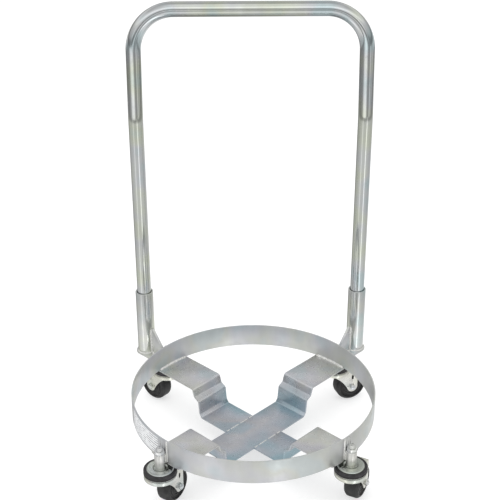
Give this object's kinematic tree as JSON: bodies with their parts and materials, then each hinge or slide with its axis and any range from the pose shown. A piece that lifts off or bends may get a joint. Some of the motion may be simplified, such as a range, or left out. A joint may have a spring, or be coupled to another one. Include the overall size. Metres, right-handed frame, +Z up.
{
  "type": "drum dolly",
  "caption": "Steel ring drum dolly: rolled ring on crossed dropped straps, four swivel casters and a lift-out tubular push handle.",
  "frame": {"origin": "centre of the ring at its lower edge, the height at which a drum's rim sits on the strap ends", "axes": "+Z up along the ring's axis, +Y towards the push handle, +X to the right of a person facing the handle from the front"},
  "size_m": [0.6475, 0.6642, 1.1162],
  "materials": {
    "zinc_plate": "satin zinc plate",
    "zinc_tube": "bright zinc plate",
    "pressed_zinc": "bright zinc plate",
    "bright_zinc_hardware": "bright zinc plate",
    "ball_steel": "polished",
    "black_wheel_rubber": "semi-gloss hard rubber",
    "black_bumper_rubber": "satin soft rubber"
  },
  "bodies": {
    "frame": {"caster_bumper_ring_front_left": "black_bumper_rubber", "caster_bumper_ring_front_right": "black_bumper_rubber", "caster_bumper_ring_rear_left": "black_bumper_rubber", "caster_bumper_ring_rear_right": "black_bumper_rubber", "caster_race_disc_front_left": "pressed_zinc", "caster_race_disc_front_right": "pressed_zinc", "caster_race_disc_rear_left": "pressed_zinc", "caster_race_disc_rear_right": "pressed_zinc", "caster_socket_front_left": "zinc_tube", "caster_socket_front_right": "zinc_tube", "caster_socket_rear_left": "zinc_tube", "caster_socket_rear_right": "zinc_tube", "caster_stem_front_left": "bright_zinc_hardware", "caster_stem_front_right": "bright_zinc_hardware", "caster_stem_rear_left": "bright_zinc_hardware", "caster_stem_rear_right": "bright_zinc_hardware", "cross_strap_front_right": "zinc_plate", "cross_strap_long": "zinc_plate", "cross_strap_rear_left": "zinc_plate", "handle_base_plate_rear_left": "zinc_plate", "handle_base_plate_rear_right": "zinc_plate", "handle_gusset_rear_left": "zinc_plate", "handle_gusset_rear_right": "zinc_plate", "handle_socket_rear_left": "zinc_tube", "handle_socket_rear_right": "zinc_tube", "ring_band": "zinc_plate", "socket_pad_front_left": "zinc_plate", "socket_pad_front_right": "zinc_plate", "stem_nuts": "bright_zinc_hardware", "stem_washers": "bright_zinc_hardware", "swivel_balls": "ball_steel"},
    "handle": {"push_handle": "zinc_tube"},
    "swivel_front_left": {"caster_fork_front_left": "pressed_zinc", "axle_bolt_front_left": "bright_zinc_hardware", "axle_nut_front_left": "bright_zinc_hardware"},
    "wheel_front_left": {"wheel_front_left": "black_wheel_rubber", "wheel_bushing_front_left": "bright_zinc_hardware"},
    "swivel_front_right": {"caster_fork_front_right": "pressed_zinc", "axle_bolt_front_right": "bright_zinc_hardware", "axle_nut_front_right": "bright_zinc_hardware"},
    "wheel_front_right": {"wheel_front_right": "black_wheel_rubber", "wheel_bushing_front_right": "bright_zinc_hardware"},
    "swivel_rear_left": {"caster_fork_rear_left": "pressed_zinc", "axle_bolt_rear_left": "bright_zinc_hardware", "axle_nut_rear_left": "bright_zinc_hardware"},
    "wheel_rear_left": {"wheel_rear_left": "black_wheel_rubber", "wheel_bushing_rear_left": "bright_zinc_hardware"},
    "swivel_rear_right": {"caster_fork_rear_right": "pressed_zinc", "axle_bolt_rear_right": "bright_zinc_hardware", "axle_nut_rear_right": "bright_zinc_hardware"},
    "wheel_rear_right": {"wheel_rear_right": "black_wheel_rubber", "wheel_bushing_rear_right": "bright_zinc_hardware"}
  },
  "joints": [
    {"name": "handle_lift", "type": "slide", "parent": "frame", "child": "handle", "axis": [0, 0, 1], "range_m": [0, 0.19]},
    {"name": "swivel_front_left", "type": "hinge", "parent": "frame", "child": "swivel_front_left", "pos_m": [-0.23228, -0.23228, 0], "axis": [0, 0, 1], "continuous": true},
    {"name": "roll_front_left", "type": "hinge", "parent": "swivel_front_left", "child": "wheel_front_left", "pos_m": [-0.20723, -0.19371, -0.09], "axis": [-0.8387, 0.5446, 0], "continuous": true},
    {"name": "swivel_front_right", "type": "hinge", "parent": "frame", "child": "swivel_front_right", "pos_m": [0.23228, -0.23228, 0], "axis": [0, 0, 1], "continuous": true},
    {"name": "roll_front_right", "type": "hinge", "parent": "swivel_front_right", "child": "wheel_front_right", "pos_m": [0.25388, -0.19167, -0.09], "axis": [-0.8829, 0.4695, 0], "continuous": true},
    {"name": "swivel_rear_left", "type": "hinge", "parent": "frame", "child": "swivel_rear_left", "pos_m": [-0.23467, 0.22988, 0], "axis": [0, 0, 1], "continuous": true},
    {"name": "roll_rear_left", "type": "hinge", "parent": "swivel_rear_left", "child": "wheel_rear_left", "pos_m": [-0.26885, 0.26066, -0.09], "axis": [-0.6691, -0.7431, 0], "continuous": true},
    {"name": "swivel_rear_right", "type": "hinge", "parent": "frame", "child": "swivel_rear_right", "pos_m": [0.23467, 0.22988, 0], "axis": [0, 0, 1], "continuous": true},
    {"name": "roll_rear_right", "type": "hinge", "parent": "swivel_rear_right", "child": "wheel_rear_right", "pos_m": [0.27789, 0.24561, -0.09], "axis": [-0.342, 0.9397, 0], "continuous": true}
  ]
}
